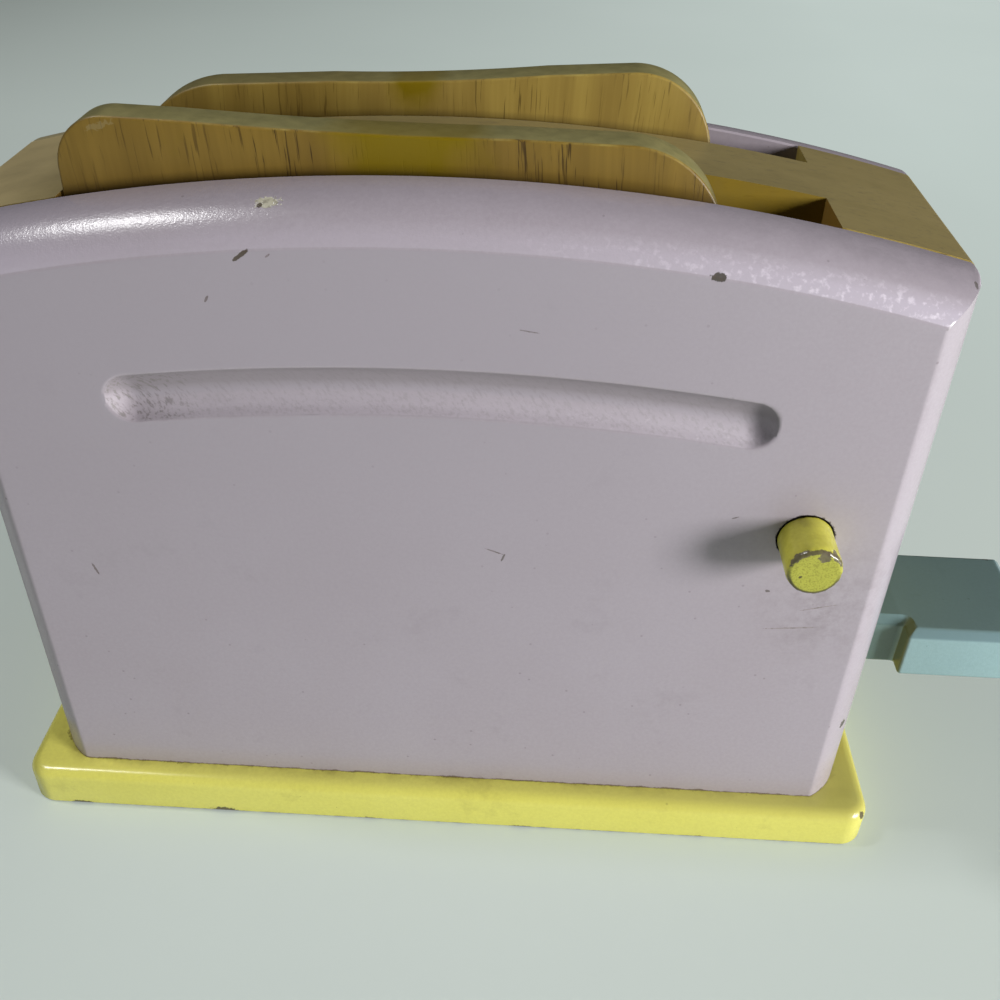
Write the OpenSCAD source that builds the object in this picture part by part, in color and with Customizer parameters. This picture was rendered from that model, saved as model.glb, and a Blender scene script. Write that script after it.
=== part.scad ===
// Wooden toy toaster: a dowelled timber core between two painted panels, on a
// painted base board. A see-saw lever through the right end lifts two slices.
// Millimetres. X runs along the body with the lever at +X, Y runs from the
// front panel to the back panel, Z is up. The origin is the middle of the
// underside of the base board.

/* [Body] */
// Length of the body, end to end
body_len = 212; // [190:1:260]
// Height of the body at its ends, above the base board
side_h = 145; // [135:1:180]
// Rise of the arched top above the ends
arch_rise = 13.5; // [8:0.5:24]
// Thickness of the front and back panels
panel_t = 16; // [14:0.5:22]
// Width of the timber core between the panels
core_w = 50; // [46:0.5:70]
// Height by which the core's top stands above the panels
core_proud = 0.4; // [0:0.1:1]
// Leg of the chamfer round each panel's outer face
panel_chamfer = 8; // [4:0.5:12]
// Radius that softens that chamfer's arris on the face
face_arris_r = 4; // [1:0.5:6]
// Radius that softens that chamfer's arris on the edge
edge_arris_r = 12; // [1:0.5:14]

/* [Base board] */
// Length by which the base stands out at each end of the body
base_end_margin = 7; // [3:0.5:14]
// Width by which the base stands out in front and behind
base_side_margin = 6; // [3:0.5:12]
// Thickness of the base board
base_t = 12; // [8:0.5:20]
// Corner radius of the base board in plan
base_corner_r = 6.5; // [5:0.5:16]
// Round-over of the base board's top edge
base_round = 3; // [1:0.5:5]
// Ease of the base board's bottom edge
base_ease = 0.8; // [0.4:0.1:1.5]

/* [Slots and core] */
// Gap between a slice's lobe and the end of its slot
slot_end_gap = 0.6; // [0.5:0.1:4]
// Width of the front bread slot
slot_front_w = 16; // [13:0.5:18]
// Width of the rear bread slot
slot_rear_w = 12; // [11:0.5:14]
// Height of the slotted top board at the crown of the arch
top_board_h = 38; // [30:0.5:50]
// Height of the divider board under the slotted top
divider_h = 48; // [30:1:55]
// Clearance between the divider and the boards at its ends
divider_fit = 0.05; // [0.02:0.01:0.2]

/* [Groove] */
// Chord between the centres of the groove's two round ends
groove_chord = 128.4; // [90:0.2:150]
// Rise of the groove's arc over that chord
groove_rise = 4.4; // [2:0.2:8]
// Height of the crown of the groove above the base board
groove_z = 119; // [100:0.5:126]
// Radius of the round-nosed cutter
groove_cutter_r = 6.35; // [4:0.05:8]
// Depth of the groove
groove_depth = 3.2; // [1.5:0.1:5]

/* [Lever] */
// Thickness of the lever board
lever_t = 17; // [12:0.5:18]
// Width of the lever's arm and neck
neck_w = 19.5; // [14:0.5:21]
// Height of the lever's underside above the base board
lever_z = 22; // [20:0.5:32]
// Distance of the handle's shoulder from the end of the body
neck_out = 17; // [10:0.5:26]
// Length of the handle
handle_len = 32; // [20:0.5:45]
// Width of the handle
handle_w = 35; // [26:0.5:44]
// Corner radius of the handle in plan
handle_corner_r = 1; // [0.5:0.5:6]
// Bevel along the top and bottom edges of the lever
lever_bevel = 2.2; // [1:0.1:3]
// Corner radius at the inner end of the arm
arm_end_r = 5; // [2:0.5:8]
// Wood left on the arm beyond the lift bar
arm_tail = 12; // [10:0.5:20]
// Angle through which the handle presses down
lever_angle = 14; // [8:0.5:15]
// Gap between the lever and the sides of its slot
lever_side_gap = 0.5; // [0.3:0.1:1]
// Gap left above and below the tilted lever in its slot
lever_tilt_gap = 0.6; // [0.3:0.1:1.5]
// Gap between the resting lever and its stop block
stop_gap = 0.2; // [0.1:0.05:0.5]
// Length of the stop block
stop_len = 30; // [15:1:40]
// Width of the stop block
stop_w = 20; // [12:1:24]

/* [Slices] */
// Width of a slice across its two lobes
slice_w = 134; // [110:1:135]
// Height of a slice at its lobes
slice_h = 129; // [122:1:140]
// Thickness of a slice
slice_t = 9; // [7:0.5:10]
// Radius of the front slice's left lobe
front_left_lobe_r = 11; // [7:0.5:20]
// Radius of the front slice's right lobe
front_right_lobe_r = 21; // [10:0.5:24]
// Radius of the rear slice's left lobe
rear_left_lobe_r = 24; // [10:0.5:26]
// Radius of the rear slice's right lobe
rear_right_lobe_r = 17.5; // [7:0.5:20]
// Depth below a slice's top down to which its lobes keep their full width
lobe_flank = 20; // [10:0.5:24]
// Amount by which a slice narrows below its lobes, each side
waist_in = 4; // [2:0.5:6]
// Depth of the dip between the lobes
dip = 0.6; // [0.4:0.1:3]
// Radius of the two bottom corners of a slice
crust_r = 8; // [4:0.5:12]
// Gap between the front slice and the front panel
front_slice_gap = 2.4; // [0.5:0.1:3]
// Gap between the rear slice and the divider
rear_slice_gap = 1.5; // [0.5:0.1:2]
// Distance of the slices' lobes, left of the middle of the body
slice_shift = 10.6; // [5:0.2:12]
// Tilt of the front slice, top to the right
front_tilt = 1.1; // [0:0.1:2]
// Tilt of the rear slice, top to the left
rear_tilt = 3.4; // [0:0.1:4]
// Gap between a slice and the lift bar under it
slice_seat = 0.3; // [0.2:0.05:0.5]

/* [Peg knob] */
// Diameter of the peg
peg_d = 12; // [8:0.5:16]
// Length by which the peg stands out of the front panel
peg_out = 12; // [6:0.5:20]
// Gap all round the peg in its hole
peg_gap = 0.35; // [0.2:0.05:0.6]
// Distance of the peg from the right end of the body
peg_from_end = 25.8; // [20:0.1:30]
// Height of the peg above the base board
peg_z = 86.5; // [70:0.5:100]
// Ease round the outer end of the peg
peg_ease = 0.6; // [0.3:0.1:1.5]
// Depth of the pocket behind the peg
pocket_depth = 6; // [5:0.5:8]
// Diameter of the pocket behind the peg
pocket_d = 22; // [18:0.5:26]
// Diameter of the washer on the peg's inner end
washer_d = 19; // [15:0.5:20]
// Thickness of that washer
washer_t = 1.2; // [0.8:0.1:2]
// End play of the peg between its washer and the panel
peg_play = 0.2; // [0.1:0.05:0.5]

/* [Pins, dowels and screws] */
// Diameter of the lever's pivot pin
pin_d = 8; // [6:0.5:10]
// Running clearance round the pivot pin, on the radius
pin_gap = 0.1; // [0.05:0.01:0.2]
// Diameter of the lift bar
lift_bar_d = 12; // [8:0.5:13]
// Gap between the lift bar's ends and the panels
lift_bar_end_gap = 1.2; // [0.8:0.1:2]
// Diameter of the joint dowels
dowel_d = 8; // [6:0.5:8]
// Length of a joint dowel
dowel_len = 24; // [18:1:28]
// Depth of a panel dowel's hole in the panel
panel_dowel_in = 10; // [8:0.5:10]
// Clearance round and beyond a glued pin or dowel
glue_gap = 0.02; // [0.01:0.01:0.05]
// Diameter of the screws up through the base
screw_d = 4; // [3:0.5:4.5]
// Length of the screws up through the base
screw_len = 35; // [28:1:36]
// Head diameter of those screws
screw_head_d = 8; // [6.5:0.5:9]
// Depth by which their heads sit below the underside
screw_sink = 0.5; // [0.3:0.1:1]
// Length of the screw in the peg
peg_screw_len = 16; // [12:1:19]
// Diameter of the screw in the peg
peg_screw_d = 3; // [2.5:0.5:4]
// Head diameter of the screw in the peg
peg_head_d = 6.5; // [5.5:0.5:8]
// Head height of the screw in the peg
peg_head_h = 2.4; // [1.8:0.1:3]

/* [Hidden] */

// Height below a slice's top at which its lobes are widest.
lobe_drop = 15;
lavender = "#D8CCE0";
butter = "#E9E27C";
mint = "#9CCFCB";
varnished = "#C9AE72";
toasted = "#B98C45";
steel = "#B9BCC0";
round_fn = 64;
hull_fn = 32;
eps = 0.01;
half_len = body_len / 2;
half_core = core_w / 2;
body_depth = core_w + 2 * panel_t;
half_depth = body_depth / 2;
wall_top = base_t + side_h;
crown_z = wall_top + arch_rise;

// The arch is one circle through both top corners and the crown.
arch_r = (half_len * half_len + arch_rise * arch_rise) / (2 * arch_rise);
arch_z = crown_z - arch_r;
top_board_z = crown_z - top_board_h;

// Both slots are as long as the slices need, wherever these lean, and the end
// walls fill the body beyond them.
slot_len = slice_w + 2 * (slice_shift + slot_end_gap);
end_wall_t = half_len - slot_len / 2;
wall_mid_x = half_len - end_wall_t / 2;
divider_y0 = -half_core + slot_front_w;
divider_y1 = half_core - slot_rear_w;
divider_w = divider_y1 - divider_y0;
divider_mid_y = (divider_y0 + divider_y1) / 2;
divider_z = top_board_z - divider_h;

// The lever turns about a pin in the middle of the right end wall.
pivot_x = wall_mid_x;
pivot_z = base_t + lever_z + lever_t / 2;
lever_end_x = half_len + neck_out + handle_len;
lift_bar_x = -slice_shift;
lever_slot_w = neck_w + 2 * lever_side_gap;
lever_slot_half_h = lever_t / 2 / cos(lever_angle) + end_wall_t / 2 * tan(lever_angle)
                    + lever_tilt_gap;
slice_seat_r = lift_bar_d / 2 + slice_seat;
lobe_level = slice_h - lobe_drop;
front_slice_y = -half_core + front_slice_gap + slice_t / 2;
rear_slice_y = divider_y1 + rear_slice_gap + slice_t / 2;

// The peg turns in the front panel, held by a washer and screw in a pocket.
peg_x = half_len - peg_from_end;
peg_web = panel_t - pocket_depth;
peg_len = peg_out + peg_web + peg_play;
peg_back_y = -half_depth + peg_web + peg_play;

groove_r = (groove_chord * groove_chord / 4 + groove_rise * groove_rise) / (2 * groove_rise);
groove_angle = asin(groove_chord / 2 / groove_r);

dowel_r = dowel_d / 2;
dowel_hole_r = dowel_r + glue_gap;
wall_dowel_y = core_w / 4;
screw_cone_h = (screw_head_d - screw_d) / 2;
panel_dowel_heights = [base_t + side_h * 0.28, base_t + side_h * 0.72];

// Outline of the body seen from the front, drawn in by `inset` at the top and
// ends: a rectangle cut by the circle of the arch.
module arched_outline(inset, proud = 0) {
    intersection() {
        translate([-half_len + inset, base_t])
            square([body_len - 2 * inset, side_h + arch_rise + proud]);
        translate([0, arch_z])
            circle(r = arch_r + proud - inset, $fn = 360);
    }
}

// Points [inset, depth] of the softened chamfer: an arc, a flat, an arc.
arc_steps = [0, 15, 30, 45];
function arris_arc(r, t) = [
    panel_chamfer + r * tan(22.5) - r * sin(t),
    r * (1 - cos(t))
];
chamfer_points = concat(
    [for (t = arc_steps) arris_arc(face_arris_r, t)],
    [for (t = arc_steps) let (p = arris_arc(edge_arris_r, 45 - t)) [p[1], p[0]]]
);
chamfer_points_back = [for (i = [len(chamfer_points) - 1:-1:0]) chamfer_points[i]];

// Plan section of a panel, its outer face at y = 0 with softened corners.
module panel_plan() {
    polygon(concat(
        [for (p = chamfer_points) [p[0] - half_len, p[1]]],
        [[-half_len, panel_t], [half_len, panel_t]],
        [for (p = chamfer_points_back) [half_len - p[0], p[1]]]
    ));
}

// Disc about the arch's axis whose rim carries the same softened chamfer.
module panel_disc() {
    translate([0, 0, arch_z])
        rotate([-90, 0, 0])
            rotate_extrude($fn = 360)
                polygon(concat(
                    [[0, 0]],
                    [for (p = chamfer_points) [arch_r - p[0], p[1]]],
                    [[arch_r, panel_t], [0, panel_t]]
                ));
}

// Arched panel, outer face towards -Y at y = 0, back flat at y = panel_t.
module panel_blank() {
    intersection() {
        translate([0, 0, base_t])
            linear_extrude(side_h + arch_rise)
                panel_plan();
        panel_disc();
    }
}

module peg_axis(y) {
    translate([peg_x, y, base_t + peg_z])
        rotate([-90, 0, 0])
            children();
}

// Round-nosed groove along an arc, its round ends made by the cutter's nose.
module groove_cut() {
    cutter_y = -half_depth + groove_depth - groove_cutter_r;
    translate([0, cutter_y, base_t + groove_z - groove_r]) {
        rotate([90, 0, 0])
            rotate([0, 0, 90 - groove_angle])
                rotate_extrude(angle = 2 * groove_angle, $fn = 360)
                    translate([groove_r, 0])
                        circle(r = groove_cutter_r, $fn = round_fn);
        for (side = [-1, 1])
            translate([side * groove_chord / 2, 0, groove_r - groove_rise])
                sphere(r = groove_cutter_r, $fn = round_fn);
    }
}

// Holes for the four dowels that fix a panel, drilled inwards from +Y of the
// joint at y = 0 of the caller.
module panel_dowel_spots() {
    for (side = [-1, 1], z = panel_dowel_heights)
        translate([side * wall_mid_x, 0, z])
            rotate([-90, 0, 0])
                children();
}

module panel_dowel_holes(face_y, into_panel, into_core) {
    translate([0, face_y - into_panel - glue_gap, 0])
        panel_dowel_spots()
            cylinder(r = dowel_hole_r, h = into_panel + into_core + 2 * glue_gap, $fn = round_fn);
}

core_dowel_in = dowel_len - panel_dowel_in;

module front_panel_holes() {
    panel_dowel_holes(-half_core, panel_dowel_in, core_dowel_in);
}

module back_panel_holes() {
    panel_dowel_holes(half_core, core_dowel_in, panel_dowel_in);
}

module base_board() {
    base_len = body_len + 2 * base_end_margin;
    base_w = body_depth + 2 * base_side_margin;
    corner_x = base_len / 2 - base_corner_r;
    corner_y = base_w / 2 - base_corner_r;
    color(butter)
        difference() {
            hull()
                for (sx = [-1, 1], sy = [-1, 1])
                    translate([sx * corner_x, sy * corner_y, 0])
                        rounded_post(base_corner_r, base_t, base_round, base_ease);
            base_screw_spots()
                base_screw_hole();
        }
}

// Short post with a rounded top edge and an eased bottom edge.
module rounded_post(r, h, top_r, bottom_e) {
    cylinder(r1 = r - bottom_e, r2 = r, h = bottom_e, $fn = hull_fn);
    translate([0, 0, bottom_e])
        cylinder(r = r, h = h - top_r - bottom_e, $fn = hull_fn);
    for (t = [22.5, 45, 67.5, 90])
        translate([0, 0, h - top_r])
            cylinder(r = r - top_r * (1 - cos(t)), h = top_r * sin(t), $fn = hull_fn);
}

module base_screw_spots() {
    for (sx = [-1, 1], sy = [-1, 1])
        translate([sx * wall_mid_x, sy * wall_dowel_y, 0])
            children();
}

module base_screw_hole() {
    translate([0, 0, -eps])
        cylinder(d = screw_head_d + 2 * glue_gap, h = screw_sink + 2 * eps, $fn = round_fn);
    translate([0, 0, screw_sink])
        cylinder(r1 = screw_head_d / 2 + glue_gap, r2 = screw_d / 2 + glue_gap,
                 h = screw_cone_h, $fn = round_fn);
    translate([0, 0, screw_sink])
        cylinder(d = screw_d + 2 * glue_gap, h = screw_len + glue_gap, $fn = round_fn);
}

module front_panel() {
    color(lavender)
        difference() {
            translate([0, -half_depth, 0])
                panel_blank();
            groove_cut();
            peg_axis(-half_depth - 1)
                cylinder(d = peg_d + 2 * peg_gap, h = panel_t + 2, $fn = round_fn);
            peg_axis(-half_core - pocket_depth)
                cylinder(d = pocket_d, h = pocket_depth + 1, $fn = round_fn);
            front_panel_holes();
        }
}

module back_panel() {
    color(lavender)
        difference() {
            mirror([0, 1, 0])
                translate([0, -half_depth, 0])
                    panel_blank();
            back_panel_holes();
        }
}

// Holes for the dowels between the slotted top and the end walls.
module top_dowel_spots() {
    for (sx = [-1, 1], sy = [-1, 1])
        translate([sx * wall_mid_x, sy * wall_dowel_y, top_board_z - dowel_len / 2])
            children();
}

module top_dowel_holes() {
    translate([0, 0, -glue_gap])
        top_dowel_spots()
            cylinder(r = dowel_hole_r, h = dowel_len + 2 * glue_gap, $fn = round_fn);
}

module slotted_top() {
    slot_drop = top_board_h + core_proud + 2;
    color(varnished)
        difference() {
            rotate([90, 0, 0])
                translate([0, 0, -half_core])
                    linear_extrude(core_w)
                        intersection() {
                            arched_outline(0, core_proud);
                            translate([-half_len, top_board_z])
                                square([body_len, top_board_h + core_proud + 1]);
                        }
            translate([-slot_len / 2, -half_core - 1, top_board_z - 1])
                cube([slot_len, slot_front_w + 1, slot_drop]);
            translate([-slot_len / 2, divider_y1, top_board_z - 1])
                cube([slot_len, slot_rear_w + 1, slot_drop]);
            top_dowel_holes();
        }
}

module end_wall_blank(side) {
    translate([side > 0 ? half_len - end_wall_t : -half_len, -half_core, base_t])
        cube([end_wall_t, core_w, top_board_z - base_t]);
}

module end_wall_holes() {
    top_dowel_holes();
    divider_dowel_holes();
    front_panel_holes();
    back_panel_holes();
    base_screw_spots()
        base_screw_hole();
}

module left_end_wall() {
    color(varnished)
        difference() {
            end_wall_blank(-1);
            end_wall_holes();
        }
}

module right_end_wall() {
    color(varnished)
        difference() {
            end_wall_blank(1);
            end_wall_holes();
            translate([half_len - end_wall_t - 1, -lever_slot_w / 2, pivot_z - lever_slot_half_h])
                cube([end_wall_t + 2, lever_slot_w, 2 * lever_slot_half_h]);
            translate([pivot_x, 0, pivot_z])
                rotate([90, 0, 0])
                    cylinder(r = pin_d / 2 + glue_gap, h = core_w + 2, center = true, $fn = round_fn);
        }
}

// Holes for the two dowels at each end of the divider.
module divider_dowel_spots() {
    for (side = [-1, 1], level = [0.25, 0.75])
        translate([side * slot_len / 2, divider_mid_y, divider_z + divider_h * level])
            rotate([0, 90, 0])
                children();
}

module divider_dowel_holes() {
    divider_dowel_spots()
        cylinder(r = dowel_hole_r, h = dowel_len + 2 * glue_gap, center = true, $fn = round_fn);
}

module divider() {
    length = slot_len - 2 * divider_fit;
    color(varnished)
        difference() {
            translate([-length / 2, divider_y0, divider_z])
                cube([length, divider_w, divider_h]);
            divider_dowel_holes();
        }
}

// Section of the lever board across a width, its four edges bevelled.
module bevelled_section(width) {
    flat_x = width / 2 - lever_bevel;
    flat_y = lever_t / 2 - lever_bevel;
    polygon([[-width / 2, -flat_y], [-flat_x, -lever_t / 2], [flat_x, -lever_t / 2],
             [width / 2, -flat_y], [width / 2, flat_y], [flat_x, lever_t / 2],
             [-flat_x, lever_t / 2], [-width / 2, flat_y]]);
}

// Rectangle with round corners, centred, extruded through the lever's thickness.
module rounded_plan(length, width, r) {
    translate([0, 0, -lever_t / 2])
        linear_extrude(lever_t)
            hull()
                for (sx = [-1, 1], sy = [-1, 1])
                    translate([sx * (length / 2 - r), sy * (width / 2 - r)])
                        circle(r = r, $fn = hull_fn);
}

// Handle: a block bevelled on all four sides, its plan corners eased.
module handle_block() {
    translate([lever_end_x - handle_len / 2, 0, pivot_z])
        intersection() {
            rounded_plan(handle_len, handle_w, handle_corner_r);
            rotate([90, 0, 90])
                linear_extrude(handle_len, center = true)
                    bevelled_section(handle_w);
            rotate([90, 0, 0])
                linear_extrude(handle_w, center = true)
                    bevelled_section(handle_len);
        }
}

// Arm and neck: one bevelled bar from beyond the lift bar into the handle.
module lever_bar() {
    arm_end_x = lift_bar_x - arm_tail;
    neck_end_x = half_len + neck_out + lever_bevel;
    bar_len = neck_end_x - arm_end_x;
    translate([(neck_end_x + arm_end_x) / 2, 0, pivot_z])
        intersection() {
            translate([arm_end_r / 2, 0, 0])
                rounded_plan(bar_len + arm_end_r, neck_w, arm_end_r);
            rotate([90, 0, 90])
                linear_extrude(bar_len, center = true)
                    bevelled_section(neck_w);
        }
}

module lever() {
    color(mint)
        difference() {
            union() {
                handle_block();
                lever_bar();
            }
            translate([pivot_x, 0, pivot_z])
                rotate([90, 0, 0])
                    cylinder(r = pin_d / 2 + pin_gap, h = neck_w + 2, center = true, $fn = round_fn);
            translate([lift_bar_x, 0, pivot_z])
                rotate([90, 0, 0])
                    cylinder(r = lift_bar_d / 2 + glue_gap, h = neck_w + 2, center = true,
                             $fn = round_fn);
        }
}

module lift_bar() {
    color(varnished)
        translate([lift_bar_x, 0, pivot_z])
            rotate([90, 0, 0])
                cylinder(d = lift_bar_d, h = core_w - 2 * lift_bar_end_gap, center = true,
                         $fn = round_fn);
}

module lever_pin() {
    color(varnished)
        translate([pivot_x, 0, pivot_z])
            rotate([90, 0, 0])
                cylinder(d = pin_d, h = core_w - 2 * glue_gap, center = true, $fn = round_fn);
}

module stop_block() {
    color(varnished)
        translate([lift_bar_x + lift_bar_d, -stop_w / 2, base_t])
            cube([stop_len, stop_w, lever_z - stop_gap]);
}

// Outline of a slice of bread standing on its foot at the origin: a body that
// is narrower than its two lobes, with a shallow dip between the lobes.
module slice_outline(left_r, right_r) {
    half_w = slice_w / 2;
    body_corner_x = half_w - waist_in - crust_r;
    dip_chord = slice_w - 2 * (left_r + right_r);
    dip_r = (dip_chord * dip_chord / 4 + dip * dip) / (2 * dip);
    difference() {
        union() {
            hull()
                for (sx = [-1, 1], level = [crust_r, lobe_level - crust_r])
                    translate([sx * body_corner_x, level])
                        circle(r = crust_r, $fn = hull_fn);
            hull() {
                for (depth = [left_r, max(left_r, lobe_flank)])
                    translate([left_r - half_w, slice_h - depth])
                        circle(r = left_r, $fn = 2 * hull_fn);
                for (depth = [right_r, max(right_r, lobe_flank)])
                    translate([half_w - right_r, slice_h - depth])
                        circle(r = right_r, $fn = 2 * hull_fn);
            }
        }
        translate([left_r - right_r, slice_h + dip_r - dip])
            circle(r = dip_r, $fn = 360);
    }
}

// A slice that stands on the lift bar, its top leaning right by `tilt`. Its
// foot line clears the bar by the seat gap, and its lobes stay over the bar.
module slice(y, tilt, left_r, right_r) {
    foot_x = lift_bar_x - lobe_level * sin(tilt);
    foot_z = pivot_z + slice_seat_r / cos(tilt) + lobe_level * tan(tilt) * sin(tilt);
    color(toasted)
        translate([foot_x, y, foot_z])
            rotate([0, tilt, 0])
                rotate([90, 0, 0])
                    linear_extrude(slice_t, center = true)
                        slice_outline(left_r, right_r);
}

module front_slice() {
    slice(front_slice_y, front_tilt, front_left_lobe_r, front_right_lobe_r);
}

module rear_slice() {
    slice(rear_slice_y, -rear_tilt, rear_left_lobe_r, rear_right_lobe_r);
}

module peg_knob() {
    color(butter)
        difference() {
            peg_axis(-half_depth - peg_out)
                rotate_extrude($fn = round_fn)
                    polygon([[0, 0], [peg_d / 2 - peg_ease, 0], [peg_d / 2, peg_ease],
                             [peg_d / 2, peg_len], [0, peg_len]]);
            peg_axis(peg_back_y - peg_screw_len + washer_t)
                cylinder(d = peg_screw_d + 2 * glue_gap, h = peg_screw_len + 1, $fn = round_fn);
        }
}

module knob_washer() {
    color(steel)
        peg_axis(peg_back_y)
            difference() {
                cylinder(d = washer_d, h = washer_t, $fn = round_fn);
                translate([0, 0, -1])
                    cylinder(d = peg_screw_d + 2 * glue_gap, h = washer_t + 2, $fn = round_fn);
            }
}

module knob_screw() {
    color(steel)
        peg_axis(peg_back_y + washer_t) {
            cylinder(d1 = peg_head_d, d2 = peg_head_d * 0.7, h = peg_head_h, $fn = round_fn);
            translate([0, 0, glue_gap - peg_screw_len])
                cylinder(d = peg_screw_d, h = peg_screw_len, $fn = round_fn);
        }
}

module base_screws() {
    color(steel)
        base_screw_spots() {
            translate([0, 0, screw_sink])
                cylinder(d1 = screw_head_d, d2 = screw_d, h = screw_cone_h, $fn = round_fn);
            translate([0, 0, screw_sink + screw_cone_h / 2])
                cylinder(d = screw_d, h = screw_len - screw_cone_h / 2, $fn = round_fn);
        }
}

module top_dowels() {
    color(varnished)
        top_dowel_spots()
            cylinder(d = dowel_d, h = dowel_len, $fn = round_fn);
}

module divider_dowels() {
    color(varnished)
        divider_dowel_spots()
            cylinder(d = dowel_d, h = dowel_len, center = true, $fn = round_fn);
}

module front_dowels() {
    color(varnished)
        translate([0, -half_core - panel_dowel_in, 0])
            panel_dowel_spots()
                cylinder(d = dowel_d, h = dowel_len, $fn = round_fn);
}

module back_dowels() {
    color(varnished)
        translate([0, half_core - core_dowel_in, 0])
            panel_dowel_spots()
                cylinder(d = dowel_d, h = dowel_len, $fn = round_fn);
}

base_board();
front_panel();
back_panel();
slotted_top();
left_end_wall();
right_end_wall();
divider();
lever();
lift_bar();
lever_pin();
stop_block();
front_slice();
rear_slice();
peg_knob();
knob_washer();
knob_screw();
base_screws();
top_dowels();
divider_dowels();
front_dowels();
back_dowels();
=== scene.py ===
"""Wooden toy toaster: the painted, varnished and worn finish of every piece."""
from math import cos, pi, radians, sin, tan

import bpy
import numpy as np
from mathutils import Matrix, Vector


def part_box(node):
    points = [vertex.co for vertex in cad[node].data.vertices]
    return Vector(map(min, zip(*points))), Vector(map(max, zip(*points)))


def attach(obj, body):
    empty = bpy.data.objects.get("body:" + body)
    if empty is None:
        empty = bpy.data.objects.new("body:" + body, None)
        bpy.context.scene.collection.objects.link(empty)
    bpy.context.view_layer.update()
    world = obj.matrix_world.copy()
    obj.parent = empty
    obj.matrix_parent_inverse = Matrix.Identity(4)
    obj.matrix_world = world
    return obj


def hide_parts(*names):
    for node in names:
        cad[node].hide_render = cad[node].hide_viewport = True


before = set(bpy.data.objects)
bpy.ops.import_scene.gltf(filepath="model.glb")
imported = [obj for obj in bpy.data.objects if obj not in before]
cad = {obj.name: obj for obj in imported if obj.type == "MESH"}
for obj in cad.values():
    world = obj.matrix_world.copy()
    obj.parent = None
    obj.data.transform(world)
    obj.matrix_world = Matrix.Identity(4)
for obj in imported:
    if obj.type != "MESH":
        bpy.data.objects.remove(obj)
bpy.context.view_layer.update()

MM = 0.001

# ---- Camera -----------------------------------------------------------------
# A phone held in front of the toy, a little right of its middle and above it.
# The three angles and the place come from the photograph's perspective.
CAMERA_PLACE = (0.0198, -0.2290, 0.2426)
CAMERA_DOWN = radians(36.17)
CAMERA_LEFT = radians(2.06)
CAMERA_ROLL = radians(1.47)
FOCAL_PIXELS = 1070.6
PHOTO_PIXELS = 1000

lens = bpy.data.cameras.new("camera")
lens.sensor_width = 36.0
lens.lens = lens.sensor_width * FOCAL_PIXELS / PHOTO_PIXELS
lens.clip_start = 0.01
camera = bpy.data.objects.new("camera", lens)
camera.matrix_world = (
    Matrix.Translation(CAMERA_PLACE)
    @ Matrix.Rotation(CAMERA_LEFT, 4, "Z")
    @ Matrix.Rotation(pi / 2 - CAMERA_DOWN, 4, "X")
    @ Matrix.Rotation(CAMERA_ROLL, 4, "Z")
)
scene = bpy.context.scene
scene.collection.objects.link(camera)
scene.camera = camera
scene.view_settings.view_transform = "Standard"


# ---- Floor and light --------------------------------------------------------
# A plain pale floor; seen by the camera it is mixed with a glow, painted light that grows further
# back and to the right. A low soft window to the right and in front brightens the right-hand edges
# and throws the peg's shadow to the left; a small ceiling lamp on the left draws the highlight along
# the arch; a pale wall and the room fill in.
def tint(code):
    """Turns a hex screen colour into the linear colour that shaders use."""
    parts = [int(code[i:i + 2], 16) / 255 for i in (1, 3, 5)]
    linear = [c / 12.92 if c <= 0.04045 else ((c + 0.055) / 1.055) ** 2.4 for c in parts]
    return (*linear, 1.0)


def put(tree, kind, sockets=None, **settings):
    """Adds a node; a socket's value is a constant, a hex colour, or the output that feeds it."""
    made = tree.nodes.new("ShaderNode" + kind)
    for name, value in settings.items():
        setattr(made, name, value)
    for key, value in (sockets or {}).items():
        if isinstance(value, bpy.types.NodeSocket):
            tree.links.new(value, made.inputs[key])
        else:
            made.inputs[key].default_value = tint(value) if isinstance(value, str) else value
    return made


def maths(operation, first, second=0.0):
    """Output of a Math node on two numbers or outputs, at least one an output."""
    tree = (first if isinstance(first, bpy.types.NodeSocket) else second).id_data
    return put(tree, "Math", {0: first, 1: second}, operation=operation).outputs[0]


def times(first, *factors):
    """Product of two or more numbers or outputs."""
    for factor in factors:
        first = maths("MULTIPLY", first, factor)
    return first


def ramp(value, low, high, start=0.0, end=1.0):
    """Output that goes from start to end as the value goes from low to high, and stays there."""
    return put(value.id_data, "MapRange", {"Value": value, "From Min": low, "From Max": high,
                                           "To Min": start, "To Max": end}).outputs["Result"]


def blend(amount, first, second):
    """Output of a colour mix: the first colour at 0, the second at 1."""
    return put(amount.id_data, "MixRGB", {"Fac": amount, "Color1": first, "Color2": second}).outputs["Color"]


def lay(colour, *marks):
    """Lays marks over a colour, one after another; a mark is its mask and its own colour."""
    for mask, mark in marks:
        colour = blend(mask, colour, mark)
    return colour


def noise(vector, scale, detail=2.0, roughness=0.5):
    """Grey noise whose features are about one metre divided by the scale."""
    return put(vector.id_data, "TexNoise", {"Vector": vector, "Scale": scale, "Detail": detail,
                                            "Roughness": roughness}).outputs["Fac"]


def axes(vector):
    """The outputs X, Y and Z of a vector."""
    return put(vector.id_data, "SeparateXYZ", {"Vector": vector}).outputs


def site(coords):
    """What marks are placed by: an object's coordinates, their X, Y and Z, and those of its normal."""
    return coords, axes(coords), axes(coords.node.outputs["Normal"])


def vectors(operation, first, second=(0.0, 0.0, 0.0)):
    """Output of a Vector Math node: a vector, or the value of a length."""
    made = put(first.id_data, "VectorMath", {0: first, 1: second}, operation=operation)
    return made.outputs["Value" if operation == "LENGTH" else "Vector"]


def turned_about_y(vector, angle):
    """A vector turned about the Y axis by an angle in radians."""
    return put(vector.id_data, "VectorRotate",
               {"Vector": vector, "Axis": (0, 1, 0), "Angle": angle}).outputs[0]


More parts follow.
